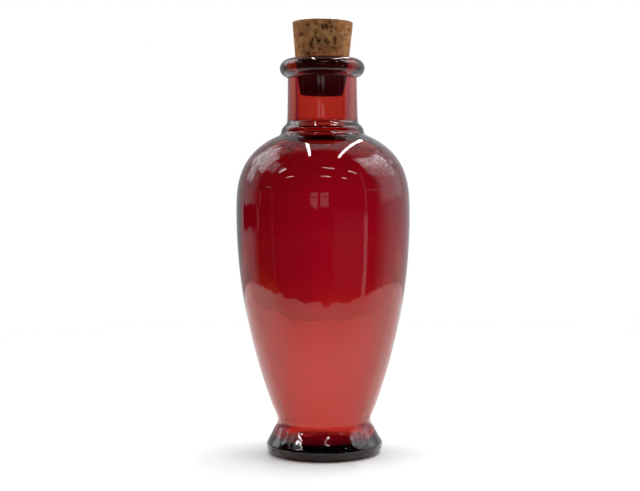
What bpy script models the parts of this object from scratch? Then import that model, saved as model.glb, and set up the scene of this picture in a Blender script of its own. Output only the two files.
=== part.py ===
"""Amphora-shaped bottle of red glass, empty, closed with a tapered natural cork.

Metres, +Z up. The bottle is a body of revolution round Z and stands on the XY plane, so its origin is the
centre of its base. An outline is a list of (radius, height) pairs that starts and ends on the axis and is
turned round it.
"""

import math

import bmesh
import bpy

# Foot: a flat ring to stand on, round a shallow hollow; a rounded rim; a cone up to the waist
FOOT_RING_INNER = 0.0150
FOOT_RING_OUTER = 0.0190
FOOT_HOLLOW_DEPTH = 0.0018
FOOT_RIM_RADIUS = 0.0218
FOOT_RIM_HEIGHT = 0.0039

# Body: a parabola from the waist to the belly, then a superellipse from the belly to the collar
WAIST_RADIUS = 0.0172
WAIST_HEIGHT = 0.0120
BELLY_RADIUS = 0.0319
BELLY_HEIGHT = 0.0875
TAPER_POWER = 2.0
DOME_RISE = 0.0323
DOME_POWER = 3.0

# Collar: a band at the foot of the neck that leans in a little, and a slope from it to the neck
COLLAR_BASE_RADIUS = 0.0154
COLLAR_EDGE_RADIUS = 0.0150
COLLAR_EDGE_HEIGHT = 0.1194
NECK_FOOT_RADIUS = 0.0130
NECK_FOOT_HEIGHT = 0.1214
NECK_TOP_RADIUS = 0.0127

# Rolled lip: an ellipse, which turns in over the crown to the bore
LIP_RADIUS = 0.01565
LIP_CROWN_RADIUS = 0.0116
LIP_MIDDLE_HEIGHT = 0.1412
LIP_HALF_HEIGHT = 0.0035
LIP_UNDERCUT_ANGLE = math.radians(-68)

# Inside: the bore with a tapered seat for the cork at its top, and the hollow body, which follows the outside
# down into the foot and ends in a floor
SEAT_TOP_HEIGHT = 0.1412
SEAT_FOOT_HEIGHT = 0.1335
BORE_RADIUS = 0.0092
BORE_FOOT_HEIGHT = 0.1185
BELLY_WALL = 0.0040
DOME_WALL = 0.0042
WAIST_WALL = 0.0042
FLOOR_HEIGHT = 0.0042
FLOOR_RISE = 0.0010

# Cork: a slender cone with a steeper nose, and the gap between it and its seat
CORK_TOP_RADIUS = 0.01115
CORK_TOP_HEIGHT = 0.1581
CORK_TAPER = 0.095
CORK_NOSE_HEIGHT = 0.1372
CORK_FOOT_RADIUS = 0.0077
CORK_FOOT_HEIGHT = 0.1312
CORK_GAP = 0.0003

# Roundings: how far from its corner each one starts and ends
RIM_ROUNDING = 0.0009
WAIST_ROUNDING = 0.0018
COLLAR_BASE_ROUNDING = 0.0009
COLLAR_EDGE_ROUNDING = 0.0010
NECK_FOOT_ROUNDING = 0.0010
UNDERCUT_ROUNDING = 0.0006
BORE_FOOT_ROUNDING = 0.0036
WAIST_INSIDE_ROUNDING = 0.0030
FLOOR_ROUNDING = 0.0030
CORK_ROUNDING = 0.0003

# How finely the outlines and the turned surfaces are divided
SIDES = 44
BOWL_STEPS = 3
RIM_STEPS = 4
BODY_STEPS = 10
DOME_STEPS = 11
LIP_STEPS = 10
MOUTH_STEPS = 4
INSIDE_STEPS = 9
ROUNDING_STEPS = 3
MERGE_DISTANCE = 1e-7
SHARP_ANGLE = math.radians(40)

# Colours, linear
GLASS_RED = (0.30, 0.004, 0.006, 1.0)
CORK_BROWN = (0.30, 0.16, 0.075, 1.0)


# --- Outlines ---------------------------------------------------------------------------------------------


def steps_between(first, last, steps):
    """The numbers from first to last in equal steps."""
    return [first + (last - first) * i / steps for i in range(steps + 1)]


def ellipse_arc(centre, radii, first_angle, last_angle, steps):
    """Points of an ellipse whose axes lie along radius and height. Angle 0 points away from the Z axis."""
    return [
        (centre[0] + radii[0] * math.cos(a), centre[1] + radii[1] * math.sin(a))
        for a in steps_between(first_angle, last_angle, steps)
    ]


def shallow_bowl(radius, rim_height, middle_height):
    """A parabola from the axis out to the rim of a bowl, or of an upturned one."""
    return [
        (radius * share, middle_height + (rim_height - middle_height) * share**2)
        for share in steps_between(0.0, 1.0, BOWL_STEPS)
    ]


def taper(waist_radius, belly_radius, low, steps):
    """The lower body from a height up to the belly, where the parabola has its vertex."""
    points = []
    for z in steps_between(low, BELLY_HEIGHT, steps):
        below = (BELLY_HEIGHT - z) / (BELLY_HEIGHT - WAIST_HEIGHT)
        points.append((belly_radius - (belly_radius - waist_radius) * below**TAPER_POWER, z))
    return points


def dome(belly_radius, rise, last_radius, steps):
    """The shoulder, a superellipse from the belly up to where its radius is last_radius.

    Equal steps of its angle put the points closest together where the shoulder turns in.
    """
    points = []
    for angle in steps_between(0.0, math.acos(last_radius / belly_radius), steps):
        up = rise * math.sin(angle) ** (2 / DOME_POWER)
        points.append((belly_radius * math.cos(angle), BELLY_HEIGHT + up))
    return points


def without_end(curve, reach):
    """The curve without its last stretch of length reach."""
    kept = list(curve)
    while len(kept) > 1:
        (r0, z0), (r1, z1) = kept[-2], kept[-1]
        length = math.hypot(r1 - r0, z1 - z0)
        if length > reach:
            share = 1 - reach / length
            kept[-1] = (r0 + (r1 - r0) * share, z0 + (z1 - z0) * share)
            return kept
        reach -= length
        kept.pop()
    return kept


def blend(first, second, reach):
    """Two curves that meet at a corner, joined, with the corner rounded over a length reach each way."""
    corner = second[0]
    before = without_end(first, reach)
    after = without_end(second[::-1], reach)[::-1]
    turn = []
    for i in range(1, ROUNDING_STEPS):
        t = i / ROUNDING_STEPS
        near, middle, far = (1 - t) ** 2, 2 * t * (1 - t), t**2
        turn.append(
            tuple(near * a + middle * b + far * c for a, b, c in zip(before[-1], corner, after[0]))
        )
    return before + turn + after


def foot_outline():
    """From the centre of the underside, over the standing ring and the rim, to the waist."""
    hollow = shallow_bowl(FOOT_RING_INNER, 0.0, FOOT_HOLLOW_DEPTH)
    rim = ellipse_arc(
        (FOOT_RING_OUTER, FOOT_RIM_HEIGHT),
        (FOOT_RIM_RADIUS - FOOT_RING_OUTER, FOOT_RIM_HEIGHT),
        -math.pi / 2,
        0.0,
        RIM_STEPS,
    )
    cone = [rim[-1], (WAIST_RADIUS, WAIST_HEIGHT)]
    return blend(hollow + rim, cone, RIM_ROUNDING)


def cork_radius(height):
    """The radius of the cork at a height above its nose."""
    return CORK_TOP_RADIUS - CORK_TAPER * (CORK_TOP_HEIGHT - height)


def seat_top():
    """The top of the cork's seat, clear of the cork by its gap."""
    return cork_radius(SEAT_TOP_HEIGHT) + CORK_GAP, SEAT_TOP_HEIGHT


def lip_outline():
    """The rolled lip, from its undercut over its crown to the top of the cork's seat."""
    outside = ellipse_arc(
        (LIP_CROWN_RADIUS, LIP_MIDDLE_HEIGHT),
        (LIP_RADIUS - LIP_CROWN_RADIUS, LIP_HALF_HEIGHT),
        LIP_UNDERCUT_ANGLE,
        math.pi / 2,
        LIP_STEPS,
    )
    inside = ellipse_arc(
        (LIP_CROWN_RADIUS, SEAT_TOP_HEIGHT),
        (LIP_CROWN_RADIUS - seat_top()[0], outside[-1][1] - SEAT_TOP_HEIGHT),
        math.pi / 2,
        math.pi,
        MOUTH_STEPS,
    )
    return outside + inside[1:]


def outside_outline():
    """The bottle's outside, from the centre of its underside over the lip to the cork's seat."""
    body = taper(WAIST_RADIUS, BELLY_RADIUS, WAIST_HEIGHT, BODY_STEPS)
    shoulder = dome(BELLY_RADIUS, DOME_RISE, COLLAR_BASE_RADIUS, DOME_STEPS)
    band = [shoulder[-1], (COLLAR_EDGE_RADIUS, COLLAR_EDGE_HEIGHT)]
    slope = [band[-1], (NECK_FOOT_RADIUS, NECK_FOOT_HEIGHT)]
    lip = lip_outline()
    neck = [slope[-1], (NECK_TOP_RADIUS, lip[0][1])]
    outline = blend(foot_outline(), body, WAIST_ROUNDING)
    outline = blend(outline + shoulder[1:], band, COLLAR_BASE_ROUNDING)
    outline = blend(outline, slope, COLLAR_EDGE_ROUNDING)
    outline = blend(outline, neck, NECK_FOOT_ROUNDING)
    return blend(outline, [neck[-1]] + lip, UNDERCUT_ROUNDING)


def inside_outline():
    """The bottle's inside, from the top of the cork's seat to the centre of the floor."""
    belly = BELLY_RADIUS - BELLY_WALL
    waist = WAIST_RADIUS - WAIST_WALL
    flare = (FOOT_RIM_RADIUS - WAIST_RADIUS) / (WAIST_HEIGHT - FOOT_RIM_HEIGHT)
    foot = waist + flare * (WAIST_HEIGHT - FLOOR_HEIGHT)
    bore = [seat_top(), (BORE_RADIUS, SEAT_FOOT_HEIGHT), (BORE_RADIUS, BORE_FOOT_HEIGHT)]
    shoulder = dome(belly, DOME_RISE - DOME_WALL, BORE_RADIUS, INSIDE_STEPS)[::-1]
    body = taper(waist, belly, WAIST_HEIGHT, INSIDE_STEPS)[::-1]
    cone = [body[-1], (foot, FLOOR_HEIGHT)]
    floor = shallow_bowl(foot, FLOOR_HEIGHT, FLOOR_HEIGHT + FLOOR_RISE)[::-1]
    outline = blend(bore + shoulder[:1], shoulder, BORE_FOOT_ROUNDING)
    outline = blend(outline + body[1:], cone, WAIST_INSIDE_ROUNDING)
    return blend(outline, floor, FLOOR_ROUNDING)


def cork_outline():
    """From the centre of the cork's lower end to the centre of its top."""
    foot = [(0.0, CORK_FOOT_HEIGHT), (CORK_FOOT_RADIUS, CORK_FOOT_HEIGHT)]
    nose = (cork_radius(CORK_NOSE_HEIGHT), CORK_NOSE_HEIGHT)
    side = [foot[-1], nose, (CORK_TOP_RADIUS, CORK_TOP_HEIGHT)]
    top = [side[-1], (0.0, CORK_TOP_HEIGHT)]
    return blend(blend(foot, side, CORK_ROUNDING), top, CORK_ROUNDING)


# --- Solids -----------------------------------------------------------------------------------------------


def turned(name, outline, material):
    """A closed body of revolution: the outline spun round Z."""
    bm = bmesh.new()
    verts = [bm.verts.new((radius, 0.0, z)) for radius, z in outline]
    edges = [bm.edges.new(pair) for pair in zip(verts, verts[1:])]
    bmesh.ops.spin(
        bm,
        geom=verts + edges,
        cent=(0.0, 0.0, 0.0),
        axis=(0.0, 0.0, 1.0),
        angle=2 * math.pi,
        steps=SIDES,
        use_merge=True,
    )
    bmesh.ops.remove_doubles(bm, verts=bm.verts, dist=MERGE_DISTANCE)
    bmesh.ops.recalc_face_normals(bm, faces=bm.faces)
    mesh = bpy.data.meshes.new(name)
    bm.to_mesh(mesh)
    bm.free()
    mesh.shade_smooth()
    mesh.set_sharp_from_angle(angle=SHARP_ANGLE)
    mesh.materials.append(material)
    body = bpy.data.objects.new(name, mesh)
    bpy.context.scene.collection.objects.link(body)
    return body


def principled(name, colour, roughness):
    """A new non-metallic material, and the shader that holds its finish."""
    material = bpy.data.materials.new(name)
    material.use_nodes = True
    shader = material.node_tree.nodes["Principled BSDF"]
    shader.inputs["Base Color"].default_value = colour
    shader.inputs["Roughness"].default_value = roughness
    shader.inputs["Metallic"].default_value = 0.0
    return material, shader


def red_glass():
    material, shader = principled("red_glass", GLASS_RED, 0.02)
    shader.inputs["IOR"].default_value = 1.52
    shader.inputs["Transmission Weight"].default_value = 1.0
    return material


def natural_cork():
    return principled("natural_cork", CORK_BROWN, 0.85)[0]


def clear_scene():
    for leftover in list(bpy.data.objects):
        bpy.data.objects.remove(leftover)


def main():
    clear_scene()
    turned("bottle", outside_outline() + inside_outline()[1:], red_glass())
    turned("cork", cork_outline(), natural_cork())


main()
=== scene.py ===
"""Looks of the corked red glass bottle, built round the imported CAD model.

The CAD's plain turned solids are replaced by finely turned ones: the glass with the slight waves
of a blown wall and a colour that comes from its depth, the cork with pores, grain and worn edges.
The glass mirrors a dim room: a bright panel high up at each side, lamps on the ceiling, a small
window and pale walls. Metres, +Z up, the viewer on -Y.
"""

import math
import random

import bpy
from mathutils import Matrix, Vector, noise


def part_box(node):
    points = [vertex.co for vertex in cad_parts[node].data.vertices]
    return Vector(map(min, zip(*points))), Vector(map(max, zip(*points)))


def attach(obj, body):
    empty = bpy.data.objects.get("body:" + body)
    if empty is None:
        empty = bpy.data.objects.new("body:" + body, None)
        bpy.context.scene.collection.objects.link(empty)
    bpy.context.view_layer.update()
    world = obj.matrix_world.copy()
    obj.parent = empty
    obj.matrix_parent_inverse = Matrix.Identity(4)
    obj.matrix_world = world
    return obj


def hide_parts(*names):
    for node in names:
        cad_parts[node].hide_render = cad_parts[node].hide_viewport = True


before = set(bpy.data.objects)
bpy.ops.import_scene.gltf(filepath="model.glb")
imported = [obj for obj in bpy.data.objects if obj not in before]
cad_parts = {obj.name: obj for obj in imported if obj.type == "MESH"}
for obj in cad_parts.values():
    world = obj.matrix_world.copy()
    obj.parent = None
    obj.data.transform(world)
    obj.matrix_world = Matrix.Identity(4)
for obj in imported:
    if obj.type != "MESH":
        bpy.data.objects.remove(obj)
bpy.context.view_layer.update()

# Camera: where the photograph was taken from.
CAMERA_PLACE = (0.0, -0.448, 0.09348)
CAMERA_PITCH = math.radians(2.186)
CAMERA_YAW = math.radians(0.152)
CAMERA_ROLL = math.radians(-0.325)
SENSOR_WIDTH = 36.0
LENS = 68.51


# ---------------------------------------------------------------- outlines from the CAD


# Points of the CAD are told apart to this many decimals of a metre.
DECIMALS = 6
ON_PLANE = 10**-DECIMALS
# For the Catmull-Rom curves: the power of the distance between two points, and its least value.
CENTRIPETAL = 0.5
SHORTEST = 1e-9


def distance(a, b):
    return math.hypot(a[0] - b[0], a[1] - b[1])


def cad_outline(node):
    """The (radius, height) points of a turned CAD node, from its lowest end on the axis on."""
    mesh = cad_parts[node].data
    place = {}
    for vertex in mesh.vertices:
        x, y, z = vertex.co
        if abs(y) < ON_PLANE and x > -ON_PLANE:
            place[vertex.index] = (round(max(x, 0.0), DECIMALS), round(z, DECIMALS))
    joined = {point: set() for point in place.values()}
    for edge in mesh.edges:
        a, b = (place.get(index) for index in edge.vertices)
        if a and b and a != b:
            joined[a].add(b)
            joined[b].add(a)
    ends = [point for point, beside in joined.items() if len(beside) == 1]
    outline = [min(ends, key=lambda end: (end[1], end[0]))]
    while True:
        onward = [point for point in joined[outline[-1]] if point not in outline]
        if not onward:
            break
        outline.append(onward[0])
    first, last = outline[0], outline[-1]
    return [(0.0, first[1])] * (first[0] > 0) + outline + [(0.0, last[1])] * (last[0] > 0)


def catmull_rom(p0, p1, p2, p3, share):
    """A point between p1 and p2 on the centripetal Catmull-Rom curve through the four."""
    t = [0.0]
    for a, b in ((p0, p1), (p1, p2), (p2, p3)):
        t.append(t[-1] + max(distance(a, b), SHORTEST) ** CENTRIPETAL)
    at = t[1] + (t[2] - t[1]) * share

    def mix(a, b, ta, tb):
        return tuple(((tb - at) * u + (at - ta) * v) / (tb - ta) for u, v in zip(a, b))

    a1, a2, a3 = mix(p0, p1, t[0], t[1]), mix(p1, p2, t[1], t[2]), mix(p2, p3, t[2], t[3])
    b1, b2 = mix(a1, a2, t[0], t[2]), mix(a2, a3, t[1], t[3])
    return mix(b1, b2, t[1], t[2])


def eased(outline, passes):
    """The outline with its small kinks averaged out and its ends kept."""
    for _ in range(passes):
        inner = [
            tuple((a[k] + 2 * b[k] + c[k]) / 4 for k in (0, 1))
            for a, b, c in zip(outline, outline[1:], outline[2:])
        ]
        outline = [outline[0]] + inner + [outline[-1]]
    return outline


# ---------------------------------------------------------------- meshes and objects


def around(turn, radius, height):
    """The point or way at this turn round the Z axis, which starts from +X."""
    return Vector((radius * math.cos(turn), radius * math.sin(turn), height))


def dents(place, depth, fineness, level=1.0):
    """The height of a rough skin at this place: on average depth * level below 0."""
    return depth * (noise.noise(place * fineness) - level)


def put(name, data):
    """A new object with this data, linked to the scene."""
    thing = bpy.data.objects.new(name, data)
    bpy.context.scene.collection.objects.link(thing)
    return thing


def turned(name, outline, sides, shift):
    """A closed mesh turned round Z. shift(point, normal, i) is how far a point of ring i moves."""
    vertices, faces, rings = [], [], []
    last = len(outline) - 1
    for i, (radius, height) in enumerate(outline):
        before, after = outline[max(i - 1, 0)], outline[min(i + 1, last)]
        along = Vector((after[0] - before[0], after[1] - before[1])).normalized()
        on_axis = i in (0, last)
        rings.append([])
        for k in range(1 if on_axis else sides):
            turn = 2 * math.pi * k / sides
            point = around(turn, radius, height)
            if on_axis:
                normal = Vector((0, 0, -1 if i == 0 else 1))
            else:
                normal = around(turn, along.y, -along.x)
            rings[-1].append(len(vertices))
            vertices.append(point + shift(point, normal, i))
    for a, b in zip(rings, rings[1:]):
        for k in range(sides):
            n = (k + 1) % sides
            if len(a) == 1:
                faces.append((a[0], b[n], b[k]))
            elif len(b) == 1:
                faces.append((a[k], a[n], b[0]))
            else:
                faces.append((a[k], a[n], b[n], b[k]))
    mesh = bpy.data.meshes.new(name)
    mesh.from_pydata(vertices, [], faces)
    mesh.validate()
    mesh.shade_smooth()
    return put(name, mesh)


# ---------------------------------------------------------------- shader nodes


class Nodes:
    """Short ways to add and join the shader nodes of a material or a world."""

    def __init__(self, owner, output):
        owner.use_nodes = True
        self.tree = owner.node_tree
        self.tree.nodes.clear()
        self.output = self.add(output)

    def add(self, kind, **values):
        node = self.tree.nodes.new(kind)
        for key, value in values.items():
            setattr(node, key, value)
        return node

    def feed(self, socket, value):
        if isinstance(value, bpy.types.NodeSocket):
            self.tree.links.new(value, socket)
        else:
            socket.default_value = value

    def finish(self, shader, output="Surface"):
        self.feed(self.output.inputs[output], shader.outputs[0])

    def place(self, kind="Object"):
        """Where the shaded point is, or for a world ("Generated") the way to it."""
        return self.add("ShaderNodeTexCoord").outputs[kind]

    def split(self, vector):
        """The X, Y and Z of a vector."""
        node = self.add("ShaderNodeSeparateXYZ")
        self.feed(node.inputs[0], vector)
        return node.outputs

    def noise(self, place, scale, detail):
        """The outputs of a noise node: "Fac" is one noise, "Color" three."""
        node = self.add("ShaderNodeTexNoise")
        node.inputs["Scale"].default_value = scale
        node.inputs["Detail"].default_value = detail
        self.feed(node.inputs["Vector"], place)
        return node.outputs

    def math(self, operation, *values):
        node = self.add("ShaderNodeMath", operation=operation)
        for socket, value in zip(node.inputs, values):
            self.feed(socket, value)
        return node.outputs[0]

    def ramp(self, value, low, high, to_low=0.0, to_high=1.0, kind="SMOOTHSTEP"):
        """Goes from to_low to to_high as value goes from low to high, and stays there beyond."""
        node = self.add("ShaderNodeMapRange", interpolation_type=kind)
        for key, given in (
            ("Value", value),
            ("From Min", low),
            ("From Max", high),
            ("To Min", to_low),
            ("To Max", to_high),
        ):
            self.feed(node.inputs[key], given)
        return node.outputs[0]

    def mix(self, share, a, b, blend="MIX"):
        """Colours a and b mixed; 6, 7 and 2 are the node's sockets for colours."""
        node = self.add("ShaderNodeMix", data_type="RGBA", blend_type=blend)
        self.feed(node.inputs[0], share)
        self.feed(node.inputs[6], a)
        self.feed(node.inputs[7], b)
        return node.outputs[2]


def new_material(name):
    material = bpy.data.materials.new(name)
    return material, Nodes(material, "ShaderNodeOutputMaterial")


# ---------------------------------------------------------------- the glass


GLASS_SIDES = 208
GLASS_STEPS_PER_SEGMENT = 4
GLASS_EASING_PASSES = 2
# The foot is cut finer outside this radius and below FOOT_TOP: into steps of FOOT_STEP.
FOOT_OUTSIDE = 0.017
FOOT_STEP = 0.0006

# Waves of the blown wall: depth, and fineness by the turn (waves) or by the metre (ripple).
OUTER_WAVE = (0.00007, 1.9)
OUTER_RIPPLE = (0.00002, 125.0)
INNER_WAVE, INNER_WAVE_FINENESS = 0.00022, 2.4
# Where in the noise the inner waves are read, apart from the outer ones.
INNER_WAVE_AWAY = Vector((9.1, 3.3, 5.7))
# The waves are drawn out upwards: they change this much over the belly's radius.
WAVE_RISE = 0.35
BELLY_RADIUS = 0.03
# They die out towards the axis from this radius inwards.
WAVES_FULL_FROM = 0.02
# Lumps and grain on the foot: depth, and fineness by the metre. They fade out over FOOT_TOP.
FOOT_LUMP = (0.00013, 260.0)
FOOT_GRAIN = (0.00006, 560.0)
FOOT_TOP = (0.0145, 0.018)
# The outside stays true up to this height, where the bottle stands.
STANDING_HEIGHT = 0.0005

GLASS_IOR = 1.52
GLASS_SURFACE = (0.97, 0.35, 0.38, 1.0)
# A metre of the glass takes this much times (1 - colour) of red, green and blue.
ABSORPTION_PER_METRE = 1000.0
ABSORPTION_COLOUR = (0.88, 0.76, 0.68, 1.0)


def glass_steps(a, b):
    """The number of steps a segment of the glass is cut into: more outside on the lumpy foot."""
    lumpy = max(a[1], b[1]) < FOOT_TOP[1] and min(a[0], b[0]) > FOOT_OUTSIDE
    return max(GLASS_STEPS_PER_SEGMENT, math.ceil(distance(a, b) / FOOT_STEP) if lumpy else 0)


def refined(outline):
    """The outline with each of its segments cut into curved steps, its ends kept on the axis."""
    mirrored = [(-outline[1][0], outline[1][1])] + outline + [(-outline[-2][0], outline[-2][1])]
    fine = []
    for i in range(1, len(mirrored) - 2):
        steps = glass_steps(*mirrored[i : i + 2])
        for k in range(steps):
            fine.append(catmull_rom(*mirrored[i - 1 : i + 3], k / steps))
    fine.append(outline[-1])
    return [(max(r, 0.0), z) for r, z in fine]


def glass_waves(outline):
    """How far the blown wall strays from a true turning; on the outside only inwards."""
    top = max(range(len(outline)), key=lambda i: outline[i][1])
    foot_low, foot_high = FOOT_TOP

    def shift(point, normal, i):
        turn = math.atan2(point.y, point.x)
        drift = around(turn, 1.0, WAVE_RISE * point.z / BELLY_RADIUS)
        swell = min(1.0, math.hypot(point.x, point.y) / WAVES_FULL_FROM)
        if i > top:
            wave = noise.noise(drift * INNER_WAVE_FINENESS + INNER_WAVE_AWAY)
            return normal * (INNER_WAVE * wave) * swell
        foot = min(max((foot_high - point.z) / (foot_high - foot_low), 0.0), 1.0)
        amount = dents(drift, *OUTER_WAVE) + dents(point, *OUTER_RIPPLE)
        amount += foot * dents(point, *FOOT_LUMP)
        amount += foot * dents(point, *FOOT_GRAIN)
        if point.z < STANDING_HEIGHT:
            amount = 0.0
        moved = normal * amount * swell
        moved.z = max(moved.z, -point.z)
        return moved

    return shift


def red_glass():
    material, n = new_material("red_glass_clear")
    glass = n.add("ShaderNodeBsdfPrincipled")
    glass.inputs["Base Color"].default_value = GLASS_SURFACE
    glass.inputs["Roughness"].default_value = 0.0
    glass.inputs["IOR"].default_value = GLASS_IOR
    glass.inputs["Transmission Weight"].default_value = 1.0
    depth = n.add("ShaderNodeVolumeAbsorption")
    depth.inputs["Color"].default_value = ABSORPTION_COLOUR
    depth.inputs["Density"].default_value = ABSORPTION_PER_METRE
    n.finish(glass)
    n.finish(depth, "Volume")
    return material


def make_bottle():
    outline = refined(cad_outline("bottle"))
    outline = eased(outline, GLASS_EASING_PASSES)
    bottle = turned("glass_bottle", outline, GLASS_SIDES, glass_waves(outline))
    bottle.data.materials.append(red_glass())
    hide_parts("bottle")
    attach(bottle, "root")


# ---------------------------------------------------------------- the cork


CORK_SIDES = 224
CORK_STEP = 0.00022
CORK_LEAN = math.radians(1.0)
# The cork's rough skin: depth and fineness of its grit and of its lumps, and their mean level.
CORK_GRIT = (0.00006, 900.0)
CORK_LUMPS = (0.00008, 260.0)
CORK_SKIN_LEVEL = 0.6

# Pits: how deep, how many widths away one still shows, and the range of height to width.
PIT_DEPTH = 0.0005
PIT_REACH = 3
PIT_TALLNESS = (0.8, 2.0)
# The draws of the pits' places and sizes start from this number.
PIT_SEED = 7
SCATTERED_PITS = 150
SCATTERED_PIT_WIDTHS = (0.00025, 0.0003, 0.0004)
TOP_PITS = 28
TOP_PIT_WIDTHS = (0.0003, 0.0007)
# Knots of dark pores: bearing from the viewer's side in degrees, height, reach, pits.
KNOTS = (
    (2, 0.1549, 0.0009, 9),
    (-45, 0.1527, 0.0008, 7),
    (-9, 0.1514, 0.0010, 7),
    (8, 0.1503, 0.0011, 8),
    (26, 0.1507, 0.0008, 6),
    (-22, 0.1493, 0.0008, 5),
    (62, 0.1550, 0.0008, 5),
    (95, 0.1490, 0.0010, 7),
    (128, 0.1540, 0.0010, 8),
    (170, 0.1505, 0.0011, 8),
    (-150, 0.1545, 0.0010, 7),
    (-112, 0.1500, 0.0010, 8),
    (-80, 0.1548, 0.0008, 5),
)
KNOT_PIT_WIDTHS = (0.00022, 0.0005)
# The pits' spread by the knot's reach, and the cork's radius for turning it into degrees.
KNOT_SPREAD = 0.6
KNOT_RADIUS = 0.011

# Scale and detail of the noises that draw the cork's patches and its grain.
CORK_PATCHES = (120.0, 3.0)
CORK_GRAIN = (420.0, 6.0)
# The patches are dark and light, the grain and the pores are darker than both.
CORK_DARK = (0.32, 0.130, 0.045, 1)
CORK_LIGHT = (0.47, 0.235, 0.092, 1)
CORK_GRAIN_COLOUR = (0.19, 0.070, 0.025, 1)
CORK_PORE_COLOUR = (0.030, 0.010, 0.004, 1)
CORK_PATCH_EDGES = (0.3, 0.7)
# Between these two values of the grain's noise, its colour's share and the roughness change so.
CORK_GRAIN_SHARE = (0.38, 0.62, 0.0, 0.55)
CORK_ROUGHNESS = (0.2, 0.8, 0.8, 0.95)
CORK_SHEEN = 0.3
CORK_BUMP_STRENGTH = 0.5
CORK_BUMP_DISTANCE = 0.0003
# Painted shade: the part inside the neck is painted dark, up to this height, for the shade it lies
# in there.
CORK_NECK_SHADE_COLOUR = (0.045, 0.010, 0.009, 1)
CORK_NECK_SHADE_TOP = 0.1446
CORK_NECK_SHADE_FADE = 0.0016


def natural_cork():
    material, n = new_material("natural_cork_bare")
    where = n.place()
    grain = n.noise(where, *CORK_GRAIN)["Fac"]
    patches = n.noise(where, *CORK_PATCHES)["Fac"]
    colour = n.mix(n.ramp(patches, *CORK_PATCH_EDGES), CORK_DARK, CORK_LIGHT)
    colour = n.mix(n.ramp(grain, *CORK_GRAIN_SHARE), colour, CORK_GRAIN_COLOUR)
    pore = n.add("ShaderNodeAttribute", attribute_name="pore").outputs["Fac"]
    colour = n.mix(pore, colour, CORK_PORE_COLOUR)
    height = n.split(where)["Z"]
    # Painted shade: the part of the cork inside the neck is painted dark.
    neck_shade = n.ramp(height, CORK_NECK_SHADE_TOP - CORK_NECK_SHADE_FADE, CORK_NECK_SHADE_TOP, 1.0, 0.0)
    colour = n.mix(neck_shade, colour, CORK_NECK_SHADE_COLOUR)
    cork = n.add("ShaderNodeBsdfPrincipled")
    n.feed(cork.inputs["Base Color"], colour)
    n.feed(cork.inputs["Roughness"], n.ramp(grain, *CORK_ROUGHNESS))
    cork.inputs["Specular IOR Level"].default_value = CORK_SHEEN
    bump = n.add("ShaderNodeBump")
    bump.inputs["Strength"].default_value = CORK_BUMP_STRENGTH
    bump.inputs["Distance"].default_value = CORK_BUMP_DISTANCE
    n.feed(bump.inputs["Height"], grain)
    n.feed(cork.inputs["Normal"], bump.outputs[0])
    n.finish(cork)
    return material


def cork_pits(outline):
    """Centre, width and height of the pits: scattered and in knots on the side, then on the top."""
    draw = random.Random(PIT_SEED)
    low, high = outline[0][1], outline[-1][1]
    places = [
        (draw.uniform(-180, 180), draw.uniform(low, high), draw.choice(SCATTERED_PIT_WIDTHS))
        for _ in range(SCATTERED_PITS)
    ]
    for bearing, height, reach, count in KNOTS:
        spread = KNOT_SPREAD * reach
        for _ in range(count):
            across = math.degrees(draw.gauss(0, spread) / KNOT_RADIUS)
            up = height + draw.gauss(0, spread)
            places.append((bearing + across, up, draw.uniform(*KNOT_PIT_WIDTHS)))
    pits = []
    for bearing, height, size in places:
        radius = max(
            a[0] + (b[0] - a[0]) * (height - a[1]) / (b[1] - a[1])
            for a, b in zip(outline, outline[1:])
            if a[1] < b[1] and a[1] <= height <= b[1]
        )
        # Bearings start from the viewer's side, a quarter turn before +X.
        centre = around(math.radians(bearing - 90), radius, height)
        pits.append((centre, size, size * draw.uniform(*PIT_TALLNESS)))
    for _ in range(TOP_PITS):
        # The root spreads them evenly over the round top.
        turn, radius = draw.uniform(0, 2 * math.pi), outline[-2][0] * draw.random() ** 0.5
        size = draw.uniform(*TOP_PIT_WIDTHS)
        pits.append((around(turn, radius, high), size, size))
    return pits


def finely_cut(outline, step):
    """The outline with its straight segments cut into steps of about this length."""
    fine = [outline[0]]
    for a, b in zip(outline, outline[1:]):
        steps = max(1, round(distance(a, b) / step))
        fine += [
            (a[0] + (b[0] - a[0]) * k / steps, a[1] + (b[1] - a[1]) * k / steps)
            for k in range(1, steps + 1)
        ]
    return fine


def make_cork():
    outline = cad_outline("cork")
    pits = cork_pits(outline)
    top = outline[-1][1]
    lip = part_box("bottle")[1].z
    pivot = Vector((0, 0, lip))
    lean = Matrix.Rotation(CORK_LEAN, 3, "Y")
    sink = Vector((0, 0, math.sin(CORK_LEAN) * max(radius for radius, _ in outline)))
    dark = []

    def shift(point, normal, i):
        depth = 0.0
        for centre, wide, tall in pits:
            away = point - centre
            reach = PIT_REACH * wide
            if abs(away.z) > PIT_REACH * tall or abs(away.x) > reach or abs(away.y) > reach:
                continue
            near = (away.x**2 + away.y**2) / wide**2 + away.z**2 / tall**2
            depth = max(depth, math.exp(-near))
        dark.append(depth)
        rough = dents(point, *CORK_GRIT, CORK_SKIN_LEVEL)
        rough += dents(point, *CORK_LUMPS, CORK_SKIN_LEVEL)
        worn = point + normal * (rough - PIT_DEPTH * depth)
        leant = pivot + lean @ (worn - pivot) - sink
        leant.z = min(leant.z, top)
        return leant - point

    cork = turned("cork_plug", finely_cut(outline, CORK_STEP), CORK_SIDES, shift)
    pore = cork.data.attributes.new("pore", "FLOAT", "POINT")
    pore.data.foreach_set("value", dark)
    cork.data.materials.append(natural_cork())
    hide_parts("cork")
    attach(cork, "root")


# ---------------------------------------------------------------- the table


# The round table that the bottle stands on. Its near rim, outside the picture, shows in the glass.
TABLE_CENTRE = (0.0, 0.155)
TABLE_RADIUS = 0.32
TABLE_STEPS = 720
# Waves of its rim: height, and fineness by the metre.
TABLE_RIM_WAVES = ((0.012, 35.0), (0.006, 120.0))
TABLE_PALE = (0.89, 0.88, 0.87, 1.0)
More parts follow.
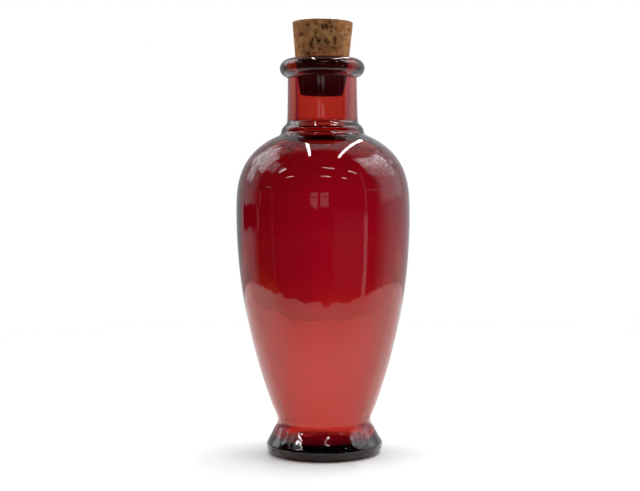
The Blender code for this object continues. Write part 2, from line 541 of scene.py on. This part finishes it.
# Painted shade: it is painted darker towards the viewer, between these two places along Y.
TABLE_FRONT_SHADE = (0.62, 0.61, 0.60, 1.0)
TABLE_SHADE = (-0.105, -0.050)
# Painted shade: it is painted a little darker at the sides behind the bottle: by the distance from
# the middle, along Y.
TABLE_SIDE_SHADE = (0.77, 0.76, 0.75, 1.0)
SIDE_SHADE_MIDDLE = 0.015
SIDE_SHADE_ASIDE = (0.015, 0.085)
SIDE_SHADE_BEHIND = (0.03, 0.09)


def table_colour_and_painted_shade():
    material, n = new_material("pale_floor")
    x, y, _ = n.split(n.place())
    # Painted shade: the table is painted darker at the sides behind the bottle.
    aside = n.ramp(n.math("ABSOLUTE", n.math("SUBTRACT", x, SIDE_SHADE_MIDDLE)), *SIDE_SHADE_ASIDE)
    darker = n.math("MULTIPLY", aside, n.ramp(y, *SIDE_SHADE_BEHIND))
    pale = n.mix(darker, TABLE_PALE, TABLE_SIDE_SHADE)
    matt = n.add("ShaderNodeBsdfDiffuse")
    # Painted shade: the table is painted darker towards the viewer.
    n.feed(matt.inputs["Color"], n.mix(n.ramp(y, *TABLE_SHADE), TABLE_FRONT_SHADE, pale))
    n.finish(matt)
    return material


def make_floor():
    rim = []
    for k in range(TABLE_STEPS):
        way = around(2 * math.pi * k / TABLE_STEPS, 1.0, 0.0)
        spot = way * TABLE_RADIUS
        wave = sum(height * noise.noise(spot * fineness) for height, fineness in TABLE_RIM_WAVES)
        rim.append(Vector((*TABLE_CENTRE, 0)) + spot + way * wave)
    mesh = bpy.data.meshes.new("floor")
    mesh.from_pydata(rim, [], [tuple(range(TABLE_STEPS))])
    floor = put("floor", mesh)
    mesh.materials.append(table_colour_and_painted_shade())


# ---------------------------------------------------------------- the room


# Luminance of the dark part of the room, in front.
ROOM_DARK = 0.015
# Pale walls: the bearings that they grow light between, and their luminance before and after.
RIGHT_SIDE = (66, 105, 0.0, 0.65)
LEFT_SIDE = (-92, -112, 0.0, 0.50)
# The ceiling is light behind the bottle (by y), high up (by elevation, with its luminance) and
# less so at the sides (by the size of x, with its share there).
CEILING_BEHIND = (-0.07, 0.08)
CEILING_UP = (55, 76, 0.0, 0.8)
CEILING_ASIDE = (0.15, 0.45, 1.0, 0.3)
# Soft patches of the room that the glass mirrors: centre and half-width of the bearing (from the
# viewer's side, + to the right) and of the elevation, softness across and upwards, all in
# degrees, then luminance.
ROOM_PATCHES = (
    ("left_panel", (-118, 20.5), (38.5, 12.5), (3, 5), 2.8),
    ("left_panel_foot", (-124, 10), (22, 9), (8, 8), 2.0),
    ("left_panel_end", (-139, 9), (33, 12), (12, 8), 2.0),
    ("left_panel_near", (-86.5, 10), (38, 7), (4, 5), 1.05),
    ("left_panel_spot", (-68, 4), (37, 4), (4, 4), 1.2),
    ("right_low", (36, 23), (-9, 9), (5, 8), 0.10),
    ("window_left", (-12.0, 4.4), (6.4, 4.6), (1.2, 1.4), 0.75),
    ("window_right", (0.8, 5.4), (6.4, 4.6), (1.2, 1.4), 0.75),
    ("left_head", (-77, 5), (13.8, 0.7), (2, 0.8), 0.60),
    ("left_frame", (-91, 0.8), (5, 4), (1.0, 3), 0.45),
    ("left_frame_low", (-95.3, 0.8), (-1, 2.5), (1.0, 2), 0.60),
    ("left_jamb", (-69.5, 0.8), (-2, 13), (1.0, 2), 0.18),
    ("right_jamb", (57.8, 1.0), (11, 24), (1.0, 3), 0.32),
    ("right_jamb_low", (57.8, 2.6), (-10, 9.5), (1.2, 3), 0.90),
    ("right_head", (71, 13.5), (11, 0.7), (2, 0.8), 0.45),
    ("right_wall", (108, 26), (20, 18), (18, 8), 1.1),
)
# The panels at the right sink towards the back: their heights are given as
# elevation + RIGHT_SLANT * (bearing - RIGHT_SLANT_FROM).
RIGHT_SLANT = 0.25
RIGHT_SLANT_FROM = 97.0
RIGHT_PATCHES = (
    ("right_panel", (98, 28), (41, 9.5), (7, 5), 2.6),
    ("right_panel_bright", (101, 27), (43.5, 7), (8, 6), 4.1),
    ("right_panel_glow", (101, 28), (28, 6), (16, 6), 1.8),
    ("right_panel_end", (133, 10), (41, 10), (14, 7), 1.2),
)
# A dark thing on the left, in front of the wall, and the bar across the window.
DARK_THING = ((-114, 16), (-0.7, 2.1), (5, 0.8))
WINDOW_BAR = ((-6, 13), (6.85, 0.3), (1.0, 0.3))
WALL_TINT = (0.99, 1.0, 1.04, 1.0)
# How far the mirrored room is bent by the glass's unevenness, in degrees, and the scale and detail
# of the noise that bends it.
ROOM_WOBBLE = 1.4
ROOM_WOBBLE_NOISE = (11.0, 1.0)
# How patchy the panels are, which sets in between the two elevations of ROOM_MOTTLE_FROM.
ROOM_MOTTLE = 0.45
ROOM_MOTTLE_NOISE = (16.0, 4.0)
ROOM_MOTTLE_EDGES = (0.3, 0.7)
ROOM_MOTTLE_FROM = (8, 22)
# The share of the room's light that falls on matt things.
ROOM_ON_MATT = (0.25, 0.25, 0.25, 1.0)
WHITE = (1, 1, 1, 1)

# What shines through the glass, by the elevation of the ray in degrees: how bright, and its tint.
WARM = (1.0, 0.8, 0.5)
COOL = (1.0, 0.05, 1.0)
SKY_SPAN = 16.0
SKY_BEHIND = (
    (-10.0, 0.50, WARM),
    (-8.0, 0.70, WARM),
    (-6.5, 1.25, WARM),
    (-5.6, 1.20, WARM),
    (-4.6, 0.85, COOL),
    (-2.5, 0.80, COOL),
    (-0.5, 0.69, COOL),
    (1.0, 0.68, COOL),
    (2.4, 0.74, COOL),
    (4.2, 0.58, COOL),
    (11.0, 0.60, COOL),
)
# It is dimmer to the left: between these two values of x, with its share there.
SKY_SLOPE = (-0.16, 0.07, 0.78, 1.06)


def soft_box(n, bearing, elevation, across, upwards, soft):
    """1 inside a box of the sky, falling to 0 outside it."""
    shares = []
    for value, (centre, half), edge in zip((bearing, elevation), (across, upwards), soft):
        away = n.math("ABSOLUTE", n.math("SUBTRACT", value, float(centre)))
        shares.append(n.ramp(away, half - edge / 2, half + edge / 2, 1.0, 0.0))
    return n.math("MULTIPLY", *shares)


def mirrored_room(n, x, y, bearing, elevation, mottle):
    """What the glass mirrors: dark in front, pale at the sides, a light ceiling behind."""
    sides = n.math("MAXIMUM", n.ramp(bearing, *RIGHT_SIDE), n.ramp(bearing, *LEFT_SIDE))
    room = n.math("MAXIMUM", sides, ROOM_DARK)
    ceiling = n.math("MULTIPLY", n.ramp(y, *CEILING_BEHIND), n.ramp(elevation, *CEILING_UP))
    ceiling = n.math("MULTIPLY", ceiling, n.ramp(n.math("ABSOLUTE", x), *CEILING_ASIDE))
    room = n.math("MAXIMUM", room, ceiling)
    sunk = n.math("MULTIPLY", n.math("SUBTRACT", bearing, RIGHT_SLANT_FROM), RIGHT_SLANT)
    slanted = n.math("ADD", elevation, sunk)
    panels = [(elevation, patch) for patch in ROOM_PATCHES]
    panels += [(slanted, patch) for patch in RIGHT_PATCHES]
    for height, (_, across, upwards, soft, bright) in panels:
        patch = soft_box(n, bearing, height, across, upwards, soft)
        room = n.math("MAXIMUM", room, n.math("MULTIPLY", patch, bright))
    for thing in (DARK_THING, WINDOW_BAR):
        dark = soft_box(n, bearing, elevation, *thing)
        room = n.math("MULTIPLY", room, n.math("SUBTRACT", 1.0, dark))
    # The panels are patchy, the walls below them plain.
    return n.math("MULTIPLY", room, n.mix(n.ramp(elevation, *ROOM_MOTTLE_FROM), WHITE, mottle))


def shining_through(n, x, elevation):
    """What lies behind, as it shines through the glass: warm low down, dimmer to the left."""
    sky = n.add("ShaderNodeValToRGB")
    sky.color_ramp.interpolation = "B_SPLINE"
    stops = sky.color_ramp.elements
    places = [(up + SKY_SPAN) / (2 * SKY_SPAN) for up, _, _ in SKY_BEHIND]
    stops[0].position, stops[1].position = places[0], places[-1]
    for place in places[1:-1]:
        stops.new(place)
    for stop, (_, bright, tint) in zip(stops, SKY_BEHIND):
        stop.color = [bright * share for share in tint] + [1]
    n.feed(sky.inputs[0], n.ramp(elevation, -SKY_SPAN, SKY_SPAN, kind="LINEAR"))
    return n.mix(1.0, sky.outputs[0], n.ramp(x, *SKY_SLOPE), "MULTIPLY")


def make_world():
    world = bpy.data.worlds.new("studio")
    bpy.context.scene.world = world
    n = Nodes(world, "ShaderNodeOutputWorld")
    way = n.place("Generated")
    x, y, z = n.split(way)
    degrees = 180.0 / math.pi
    bearing = n.math("MULTIPLY", n.math("ARCTAN2", x, n.math("MULTIPLY", y, -1.0)), degrees)
    elevation = n.math("MULTIPLY", n.math("ARCSINE", z), degrees)

    bends = n.split(n.noise(way, *ROOM_WOBBLE_NOISE)["Color"])
    bent = [
        n.math("MULTIPLY_ADD", n.math("SUBTRACT", share, 0.5), 2 * ROOM_WOBBLE, angle)
        for share, angle in zip(bends, (bearing, elevation))
    ]
    patchy = n.noise(way, *ROOM_MOTTLE_NOISE)["Fac"]
    mottle = n.ramp(patchy, *ROOM_MOTTLE_EDGES, 1 - ROOM_MOTTLE, 1 + ROOM_MOTTLE)

    path = n.add("ShaderNodeLightPath").outputs
    room = n.mix(1.0, mirrored_room(n, x, y, *bent, mottle), WALL_TINT, "MULTIPLY")
    room = n.mix(path["Is Diffuse Ray"], room, n.mix(1.0, room, ROOM_ON_MATT, "MULTIPLY"))
    light = n.mix(path["Is Transmission Ray"], room, shining_through(n, x, elevation))
    background = n.add("ShaderNodeBackground")
    n.feed(background.inputs["Color"], n.mix(path["Is Camera Ray"], light, WHITE))
    n.finish(background)


# ---------------------------------------------------------------- lamps, light card and camera


LAMP_HEIGHT = 1.5
# Lamps on the ceiling: centre (x, y), length, width, turn in degrees, luminance. The length runs
# along Y at no turn.
CEILING_LAMPS = (
    ("left_long", -0.285, 0.110, 1.00, 0.06, -4.0, 26.0),
    ("right_long", 0.535, 0.53, 2.05, 0.06, -5.9, 26.0),
    ("far_left_near", -1.765, -0.82, 0.65, 0.050, 88.0, 20.0),
    ("far_left_far", -1.875, -1.77, 0.52, 0.050, 81.0, 20.0),
    ("far_middle_near", 0.195, -1.32, 0.52, 0.045, 76.8, 14.0),
    ("far_middle_far", 0.13, -2.275, 0.58, 0.050, 83.0, 14.0),
    ("far_right_near", 1.47, -1.325, 0.62, 0.045, 91.0, 14.0),
    ("far_right_far", 1.35, -2.24, 0.57, 0.050, 80.0, 14.0),
)
# Soft lamps that the glass doesn't mirror: place, what they are turned to, size and luminance.
SOFT_LAMPS = (
    ("soft_right", (0.92, -0.36, 0.25), (0.0, 0.0, 0.14), 0.5, 5.8),
    ("soft_left", (-0.92, -0.26, 0.25), (0.0, 0.0, 0.14), 0.5, 4.6),
    ("soft_top", (0.0, -0.15, 1.2), (0.0, -0.08, 0.0), 0.5, 5.2),
    ("soft_back", (0.04, 0.27, 0.5), (0.04, 0.27, 0.0), 0.4, 2.5),
)


def add_lamp(name, length, width, luminance):
    lamp = bpy.data.lights.new(name, "AREA")
    lamp.shape = "RECTANGLE"
    lamp.size, lamp.size_y = width, length
    lamp.energy = luminance * math.pi * length * width
    return put(name, lamp)


def make_lamps():
    for name, x, y, length, width, turn, luminance in CEILING_LAMPS:
        lamp = add_lamp(name, length, width, luminance)
        lamp.location = (x, y, LAMP_HEIGHT)
        lamp.rotation_euler = (0, 0, math.radians(turn))
        # The echo of these lamps in the inside of the wall is left out.
        lamp.visible_transmission = False
    for name, place, target, side, luminance in SOFT_LAMPS:
        lamp = add_lamp(name, side, side, luminance)
        lamp.location = place
        away = Vector(place) - Vector(target)
        lamp.rotation_euler = away.to_track_quat("Z", "Y").to_euler()
        lamp.visible_glossy = lamp.visible_transmission = False


# A small light card close behind the neck, seen through the glass alone.
CARD_BACK = 0.016
CARD_HALF = 0.036
CARD_SIDE_FADE = 0.009
CARD_HEIGHTS = (0.1220, 0.1400)
CARD_FADE = 0.0010
CARD_LIGHT = (1.02, 1.15, 1.0, 1.0)


def card_light():
    """Light in the middle of the card, which fades out towards its four edges."""
    material, n = new_material("light_card")
    x, _, z = n.split(n.place())
    low, high = CARD_HEIGHTS
    sides = n.ramp(n.math("ABSOLUTE", x), CARD_HALF - CARD_SIDE_FADE, CARD_HALF, 1.0, 0.0)
    foot = n.ramp(z, low, low + CARD_FADE)
    head = n.ramp(z, high - CARD_FADE, high, 1.0, 0.0)
    glow = n.add("ShaderNodeEmission")
    glow.inputs["Color"].default_value = CARD_LIGHT
    blend = n.add("ShaderNodeMixShader")
    n.feed(blend.inputs[0], n.math("MULTIPLY", sides, n.math("MULTIPLY", foot, head)))
    n.feed(blend.inputs[1], n.add("ShaderNodeBsdfTransparent").outputs[0])
    n.feed(blend.inputs[2], glow.outputs[0])
    n.finish(blend)
    return material


def make_card():
    low, high = CARD_HEIGHTS
    corners = ((-CARD_HALF, low), (CARD_HALF, low), (CARD_HALF, high), (-CARD_HALF, high))
    mesh = bpy.data.meshes.new("neck_card")
    mesh.from_pydata([(x, CARD_BACK, z) for x, z in corners], [], [(0, 1, 2, 3)])
    card = put("neck_card", mesh)
    mesh.materials.append(card_light())
    card.visible_camera = card.visible_diffuse = False
    card.visible_glossy = card.visible_shadow = False


def make_camera():
    data = bpy.data.cameras.new("camera")
    data.sensor_width, data.lens = SENSOR_WIDTH, LENS
    camera = put("camera", data)
    camera.matrix_world = (
        Matrix.Translation(CAMERA_PLACE)
        @ Matrix.Rotation(CAMERA_YAW, 4, "Z")
        @ Matrix.Rotation(math.pi / 2 - CAMERA_PITCH, 4, "X")
        @ Matrix.Rotation(CAMERA_ROLL, 4, "Z")
    )
    bpy.context.scene.camera = camera


make_camera()
make_bottle()
make_cork()
make_floor()
make_world()
make_lamps()
make_card()
bpy.context.scene.view_settings.view_transform = "Standard"
